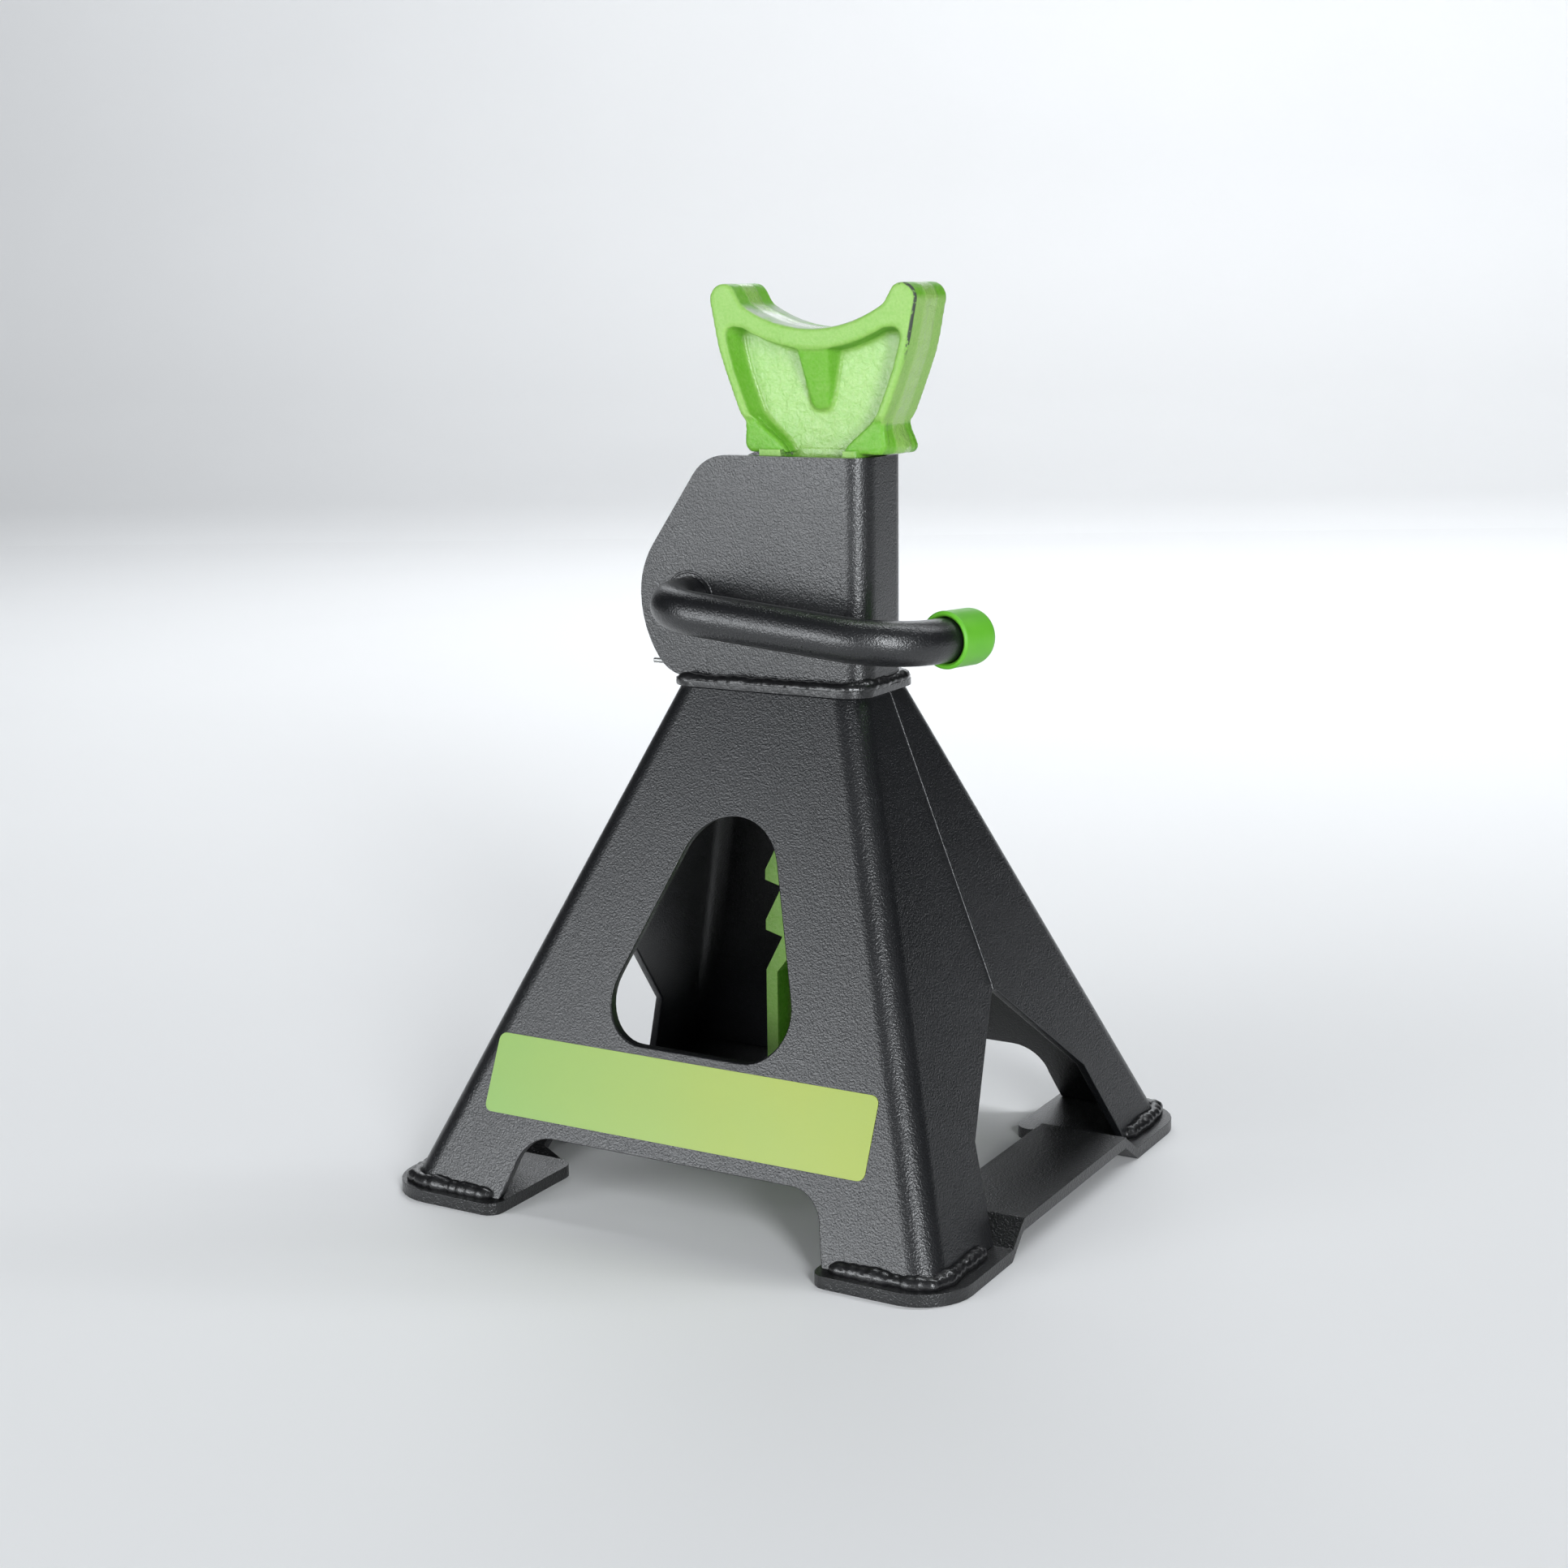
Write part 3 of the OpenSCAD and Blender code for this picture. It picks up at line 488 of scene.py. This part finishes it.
cap_r, cap_l = rod_r + 2, 18.0
profile = ([(rod_r + 0.25, 3.0), (rod_r + 0.3, 0.9), (rod_r + 0.8, 0.15), (cap_r - 0.7, 0), (cap_r, 0.5),
            (cap_r + 0.12, 1.2), (cap_r - 0.1, 2.1), (cap_r, 4), (cap_r, 9)]
           + [(cap_r - 5.2 + 5.2 * math.cos(math.radians(a)), cap_l - 5.2 + 5.2 * math.sin(math.radians(a)))
              for a in range(5, 90, 12)] + [(2, cap_l), (0, cap_l + 0.05)])
cap = bmesh.new()
line = [cap.verts.new((r * MM, 0, z * MM)) for r, z in profile]
edges = [cap.edges.new(pair) for pair in zip(line, line[1:])]
bmesh.ops.spin(cap, geom=line + edges, cent=(0, 0, 0), axis=(0, 0, 1), angle=math.tau, steps=48,
               use_merge=True)
bmesh.ops.remove_doubles(cap, verts=cap.verts, dist=0.005 * MM)
bmesh.ops.recalc_face_normals(cap, faces=cap.faces)
seat_at = hang @ Vector((end_x + straight * ahead.x, end_y + straight * ahead.y, 0))
turn = Matrix.Rotation(droop, 4, "Y") @ Matrix.Rotation(math.radians(last_turn), 4, "Z")
turn = turn @ Matrix.Rotation(math.pi / 2, 4, "Y")
bmesh.ops.transform(cap, matrix=Matrix.Translation(seat_at * MM) @ turn, verts=cap.verts)


def vinyl():
    made, shader, tone = material("green_vinyl", 0.42, specular=0.4)
    spot = place(tone)
    mottle = speckle(tone, spot, 6, 3.0)
    grit = speckle(tone, spot, 0.6, 1.0)
    feed(shader, Base_Color=mottle.blend((0.105, 0.43, 0.022, 1), (0.15, 0.5, 0.035, 1)),
         Roughness=0.36 + 0.14 * mottle,
         Normal=tone.node("Bump", {}, {"Strength": 0.12, "Distance": 0.3 * MM,
                                       "Height": mottle + 0.3 * grit}))
    return made


piece("handle_end_cap", cap, vinyl(), "green_vinyl", "handle", "handle_cap")

# ---------------------------------------------------------------------------
# Latch. The pawl sits on the handle's shaft between the cheeks, held by a roll pin. A washer
# and a split pin hold the shaft at the rear, and a torsion spring whose one leg rests on a
# pin turns the pawl back into the notches. All are zinc plated.
# ---------------------------------------------------------------------------
def zinc(name="zinc_steel"):
    made, shader, tone = material(name, 0.35, metallic=1.0)
    spot = place(tone)
    bloom = speckle(tone, spot, 9, 3.0)
    scratch = speckle(tone, spot, 0.9, 2.0)
    feed(shader, Base_Color=bloom.blend((0.36, 0.37, 0.38, 1), (0.52, 0.52, 0.5, 1)),
         Roughness=0.3 + 0.25 * bloom,
         Normal=tone.node("Bump", {}, {"Strength": 0.15, "Distance": 0.2 * MM, "Height": scratch}))
    return made


plated = zinc()
for node, edge, body in (("locking_pawl", 0.8, "handle"), ("pawl_roll_pin", 0.2, "handle"),
                         ("shaft_washer", 0.3, "handle"), ("shaft_split_pin", 0.1, "handle"),
                         ("column_stop_pin", 0.4, "column"), ("spring_anchor_pin", 0.3, "root")):
    piece(node.replace("pawl", "latch"), pressing(node, edge), plated, "zinc_steel", body, node)

coil_r, wire_r = 8.7, 0.9
coil_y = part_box("return_spring")[0].y / MM + wire_r
turns = 2.6
coil = [pivot + Vector((-coil_r * math.cos(a), coil_y + a / math.tau * 1.9, coil_r * math.sin(a)))
        for a in [math.tau * turns * i / 60 for i in range(61)]]
lower = [pivot + Vector((-coil_r - 8, coil_y, -22)), pivot + Vector((-coil_r - 1.2, coil_y, -22)),
         pivot + Vector((-coil_r - 0.2, coil_y, -21)), pivot + Vector((-coil_r, coil_y, -16)),
         pivot + Vector((-coil_r, coil_y, -4))]
tip = coil[-1]
upper = [tip + Vector((0, 0.3, 0)) + (tip - coil[-2]).normalized() * d for d in (4, 9)]
wire = lower + coil + upper
piece("latch_spring", tube(wire, [wire_r] * len(wire), 10), zinc("spring_wire"), "zinc_steel", "root",
      "return_spring")

# ---------------------------------------------------------------------------
# Label. A glossy film with rounded corners on the lower front, printed in a green that turns
# yellower to the right. It is left without words.
# ---------------------------------------------------------------------------
def film():
    made, shader, tone = material("label_film", 0.35, coat=0.35, coat_roughness=0.2)
    spot = place(tone)
    x, z = [tone.node("SeparateXYZ", {}, {0: spot}, i) for i in (0, 2)]
    sweep = (x + 0.4 * z).above(-0.06, 0.12)
    mist = speckle(tone, spot, 30, 2.0, 0.4)
    colour = (sweep * 0.85 + 0.3 * (mist - 0.5)).blend((0.185, 0.35, 0.045, 1), (0.32, 0.39, 0.04, 1))
    feed(shader, Base_Color=colour, Roughness=0.32 + 0.1 * mist,
         Normal=tone.node("Bump", {}, {"Strength": 0.06, "Distance": 0.3 * MM,
                                       "Height": speckle(tone, spot, 1.3, 1.0)}))
    return made


piece("label", pressing("label_sheet", 0.05, 1, 60), film(), "label_film", "root", "label_sheet")

# ---------------------------------------------------------------------------
# Studio. A pale floor and paper sweep, soft lights low at the front left, a narrow one at the
# front right for the folds, one behind the stand and one on the paper, and a long lens a
# little above the stand.
# ---------------------------------------------------------------------------
paper, paper_shader, paper_tone = material("pale_paper", 0.9, specular=0.1)
fibre = speckle(paper_tone, place(paper_tone), 400)
feed(paper_shader, Base_Color=fibre.blend((0.86, 0.86, 0.86, 1), (0.9, 0.9, 0.9, 1)))


def surround(name, mesh, smooth):
    data = bpy.data.meshes.new(name)
    mesh.to_mesh(data)
    mesh.free()
    if smooth:
        data.shade_smooth()
    data.materials.append(paper)
    made = bpy.data.objects.new(name, data)
    bpy.context.collection.objects.link(made)


ground = bmesh.new()
bmesh.ops.create_grid(ground, x_segments=1, y_segments=1, size=12)
surround("floor", ground, False)

view_turn = math.radians(29.96)
sweep = bmesh.new()
start = [sweep.verts.new((x, 1.6, -0.003)) for x in (-1.7, 1.7)]
rim = [sweep.edges.new(start)]
for run_out, rise in ((0.9, 0.006), (0.5, 0.12), (0.35, 0.35), (0.12, 0.5), (0, 1.6)):
    made = bmesh.ops.extrude_edge_only(sweep, edges=rim)["geom"]
    rim = [e for e in made if isinstance(e, bmesh.types.BMEdge)]
    bmesh.ops.translate(sweep, vec=(0, run_out, rise),
                        verts=[v for v in made if isinstance(v, bmesh.types.BMVert)])
bmesh.ops.rotate(sweep, matrix=Matrix.Rotation(view_turn, 3, "Z"), verts=sweep.verts)
surround("backdrop", sweep, True)

world = bpy.data.worlds.new("studio")
bpy.context.scene.world = world
world.use_nodes = True
# The room is dim behind the paper and paler on the camera's side
room = Tone(world.node_tree)
way = room.node("TexCoord", {}, {}, "Generated")
facing = room.node("VectorMath", {"operation": "DOT_PRODUCT"}, {0: way, 1: (0.5, -0.87, 0)}, "Value")
background = world.node_tree.nodes["Background"]
background.inputs["Color"].default_value = (0.93, 0.96, 1, 1)
world.node_tree.links.new((0.03 + 0.27 * facing.above(-0.1, 1.0)).socket, background.inputs["Strength"])


def softbox(name, azimuth, elevation, distance, size, power):
    """A rectangular light at a bearing from the front, aimed at the middle of the stand"""
    a, e = math.radians(azimuth), math.radians(elevation)
    away = Vector((math.sin(a) * math.cos(e), -math.cos(a) * math.cos(e), math.sin(e)))
    light = bpy.data.lights.new(name, "AREA")
    light.shape, light.size, light.size_y, light.energy = "RECTANGLE", *size, power
    light.color = (0.94, 0.97, 1.0)
    lamp = bpy.data.objects.new(name, light)
    bpy.context.collection.objects.link(lamp)
    lamp.location = Vector((0, 0, 0.15)) + away * distance
    lamp.rotation_euler = away.to_track_quat("Z", "Y").to_euler()
    return lamp


softbox("key_light", -34, 14, 1.7, (0.7, 0.9), 6)
softbox("low_key_light", -28, 4, 1.5, (0.45, 0.5), 3)
softbox("low_front_light", -10, 4, 1.7, (0.6, 0.4), 6.5)
softbox("fold_light", 48, 10, 1.8, (0.35, 1.4), 30)
softbox("back_light", 215, 38, 2.0, (1.1, 1.1), 8)
wash = softbox("backdrop_light", 150, 60, 2.4, (2.4, 0.8), 76)
wash.rotation_euler = (math.radians(55), 0, view_turn)

camera_data = bpy.data.cameras.new("camera")
camera_data.lens, camera_data.sensor_width = 56.185, 36
camera = bpy.data.objects.new("camera", camera_data)
bpy.context.collection.objects.link(camera)
elevation, roll = math.radians(11.62), math.radians(-0.70)
back = Vector((math.sin(view_turn) * math.cos(elevation), -math.cos(view_turn) * math.cos(elevation),
               math.sin(elevation)))
side = (-back).cross(Vector((0, 0, 1))).normalized()
up = side.cross(-back)
level = Matrix((side, up, back)).transposed()
tilted = level @ Matrix.Rotation(roll, 3, "Z")
camera.location = back * 0.83196 + tilted @ Vector((-0.00477, 0.12614, 0))
camera.rotation_euler = tilted.to_euler()
bpy.context.scene.camera = camera
bpy.context.scene.view_settings.view_transform = "Standard"
